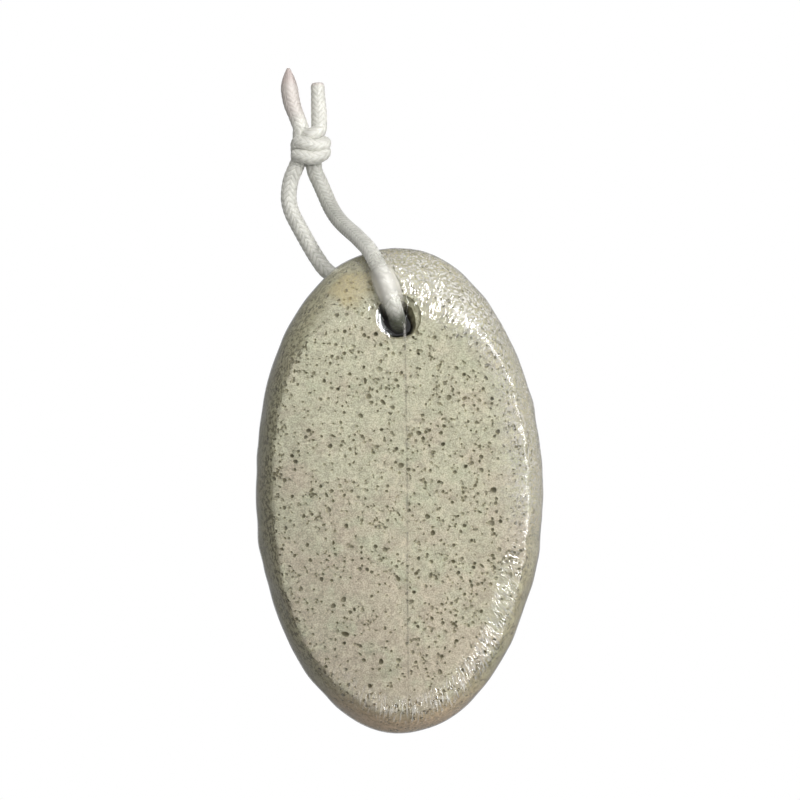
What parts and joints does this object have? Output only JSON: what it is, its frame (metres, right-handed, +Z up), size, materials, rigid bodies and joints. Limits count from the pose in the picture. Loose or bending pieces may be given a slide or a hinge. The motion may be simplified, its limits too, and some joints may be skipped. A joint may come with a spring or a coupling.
{
  "type": "pumice stone",
  "caption": "Oval foot pumice with flat faces and a hole near one end, in clear shrink film, on a knotted loop of white braided cord.",
  "frame": {"origin": "on the surface that the stone lies on, under the middle of the wrapped stone", "axes": "+Y along the stone towards the end with the hole, +X across it, +Z up out of the face that shows"},
  "size_m": [0.0566, 0.1319, 0.0309],
  "materials": {
    "pumice": "porous, matte, fine grained",
    "film": "clear, glossy, crinkled",
    "braid": "round braid, soft sheen"
  },
  "bodies": {
    "root": {"pumice_stone": "pumice", "shrink_film": "film", "cord_loop": "braid", "cord_knot": "braid", "cord_tail_sealed": "braid", "cord_tail_cut": "braid"}
  },
  "joints": []
}
